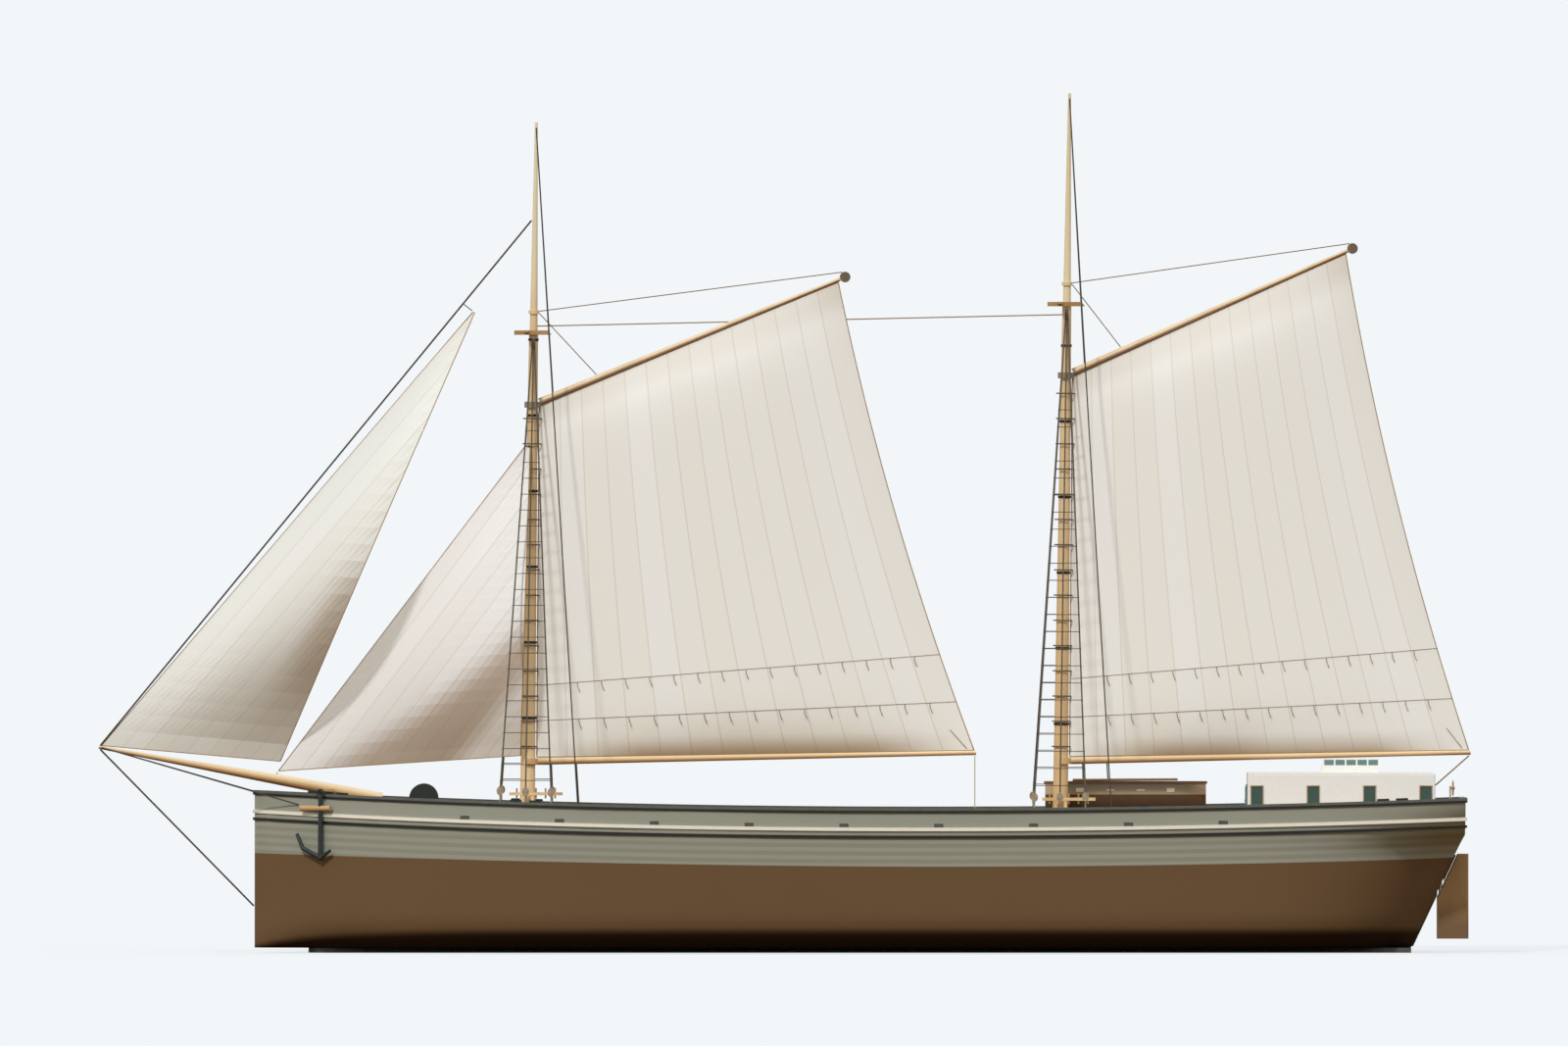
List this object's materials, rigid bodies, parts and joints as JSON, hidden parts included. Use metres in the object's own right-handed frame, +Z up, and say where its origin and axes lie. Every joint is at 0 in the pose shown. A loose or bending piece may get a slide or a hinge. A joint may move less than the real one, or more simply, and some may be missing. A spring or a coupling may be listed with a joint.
{
  "type": "rc sailboat",
  "caption": "Two-masted gaff schooner model with planked hull, deckhouse, full rigging, swinging sails and a steered rudder.",
  "frame": {"origin": "under the middle of the whole boat, on the underside of the keel plate", "axes": "+X aft, +Y to starboard, +Z up; the bow points along -X"},
  "size_m": [1.132, 0.2192, 0.709],
  "materials": {
    "painted_planks": "satin paint, grey topsides above a brown bottom",
    "deck_planks": "oiled planks",
    "grey_paint": "satin grey paint",
    "black_paint": "satin black paint",
    "cream_paint": "satin cream paint",
    "cast_keel": "black paint",
    "iron_ballast": "rough",
    "plywood": "bare plywood",
    "brass_tube": "machined",
    "rudder_wood": "varnished",
    "spar_wood": "varnished",
    "nylon": "moulded",
    "case_black": "moulded",
    "steel_rod": "bright",
    "battery_wrap": "shrink wrap",
    "white_paint": "satin white paint",
    "window_wood": "varnished",
    "window_glass": "tinted clear",
    "door_wood": "satin blue-green paint",
    "boat_paint": "satin paint",
    "iron_black": "blackened",
    "stock_wood": "varnished",
    "dark_steel": "blackened",
    "sail_cloth": "woven cotton",
    "tarred_rope": "tarred line",
    "deadeye_wood": "oiled",
    "hoop_wood": "bent wood"
  },
  "bodies": {
    "hull": {"hull_shell": "painted_planks", "deck": "deck_planks", "freeing_ports": "black_paint", "cap_rail": "grey_paint", "black_mouldings": "black_paint", "rub_rails": "cream_paint", "keel_plate": "cast_keel", "ballast_bars": "iron_ballast", "internal_frames": "plywood", "stern_tube": "brass_tube", "rudder_servo": "case_black", "sail_winch": "case_black", "battery_pack": "battery_wrap", "receiver": "case_black", "hatch_coaming": "spar_wood", "aft_deckhouse": "white_paint", "deckhouse_roof": "white_paint", "window_frames": "window_wood", "window_panes": "window_glass", "skylight": "white_paint", "ships_boat": "boat_paint", "boat_fittings": "stock_wood", "windlass_bitts": "spar_wood", "anchors": "iron_black", "anchor_stocks": "stock_wood", "mooring_chocks": "dark_steel", "wheel_post": "spar_wood", "fife_rails": "spar_wood", "belaying_pins": "stock_wood", "bowsprit": "spar_wood", "fore_mast": "spar_wood", "main_mast": "spar_wood", "crosstrees": "stock_wood", "mast_bands": "dark_steel", "shrouds": "tarred_rope", "deadeyes": "deadeye_wood", "stays": "tarred_rope", "boom_sheets": "tarred_rope"},
    "rudder": {"rudder_blade": "rudder_wood", "rudder_stock": "steel_rod", "tiller_arm": "nylon"},
    "servo_arm": {"servo_arm": "nylon"},
    "pushrod": {"steering_pushrod": "steel_rod"},
    "winch_drum": {"winch_drum": "nylon"},
    "hatch_lid": {"hatch_lid": "deck_planks"},
    "companion_door": {"companion_door": "door_wood"},
    "windlass": {"windlass_barrel": "iron_black"},
    "steering_wheel": {"steering_wheel": "stock_wood"},
    "fore_rig": {"fore_boom": "spar_wood", "fore_gaff": "spar_wood", "foresail": "sail_cloth", "fore_hoops": "hoop_wood", "fore_halyards": "tarred_rope"},
    "main_rig": {"main_boom": "spar_wood", "main_gaff": "spar_wood", "mainsail": "sail_cloth", "main_hoops": "hoop_wood", "main_halyards": "tarred_rope"},
    "jib": {"jib": "sail_cloth"},
    "staysail": {"staysail": "sail_cloth"}
  },
  "joints": [
    {"name": "rudder_turn", "type": "hinge", "parent": "hull", "child": "rudder", "pos_m": [0.541, 0, 0.05], "axis": [0, 0, 1], "range_deg": [-25, 25]},
    {"name": "servo_arm_turn", "type": "hinge", "parent": "hull", "child": "servo_arm", "pos_m": [0.451, 0, 0.096], "axis": [0, 0, 1], "range_deg": [-25, 25]},
    {"name": "pushrod_pivot", "type": "hinge", "parent": "servo_arm", "child": "pushrod", "pos_m": [0.451, 0.012, 0.098], "axis": [0, 0, 1], "range_deg": [-25, 25]},
    {"name": "winch_drum_spin", "type": "hinge", "parent": "hull", "child": "winch_drum", "pos_m": [-0.095, 0, 0.076], "axis": [0, 0, 1], "range_deg": [-180, 180]},
    {"name": "hatch_lid_lift", "type": "slide", "parent": "hull", "child": "hatch_lid", "axis": [0, 0, 1], "range_m": [0, 0.03]},
    {"name": "companion_door_swing", "type": "hinge", "parent": "hull", "child": "companion_door", "pos_m": [0.3802, -0.022, 0.125], "axis": [0, 0, 1], "range_deg": [0, 100]},
    {"name": "windlass_spin", "type": "hinge", "parent": "hull", "child": "windlass", "pos_m": [-0.2975, 0, 0.1273], "axis": [0, 1, 0], "continuous": true},
    {"name": "steering_wheel_spin", "type": "hinge", "parent": "hull", "child": "steering_wheel", "pos_m": [0.5514, 0, 0.1354], "axis": [1, 0, 0], "continuous": true},
    {"name": "fore_boom_swing", "type": "hinge", "parent": "hull", "child": "fore_rig", "pos_m": [-0.2116, 0, 0.157], "axis": [0.0131, 0, 0.9999], "range_deg": [-55, 0], "deforming": ["boom_sheets"]},
    {"name": "main_boom_swing", "type": "hinge", "parent": "hull", "child": "main_rig", "pos_m": [0.228, 0, 0.157], "axis": [0.0131, 0, 0.9999], "range_deg": [-55, 55], "deforming": ["boom_sheets"]},
    {"name": "jib_swing", "type": "hinge", "parent": "hull", "child": "jib", "pos_m": [-0.5604, 0, 0.1706], "axis": [0.647, 0, 0.7625], "range_deg": [-20, 20]},
    {"name": "staysail_swing", "type": "hinge", "parent": "hull", "child": "staysail", "pos_m": [-0.4174, 0, 0.1496], "axis": [0.6047, -0.0268, 0.796], "range_deg": [-11, 0]}
  ],
  "couplings": [
    {"joint": "servo_arm_turn", "follows": "rudder_turn", "ratio": 1},
    {"joint": "pushrod_pivot", "follows": "rudder_turn", "ratio": -1}
  ]
}
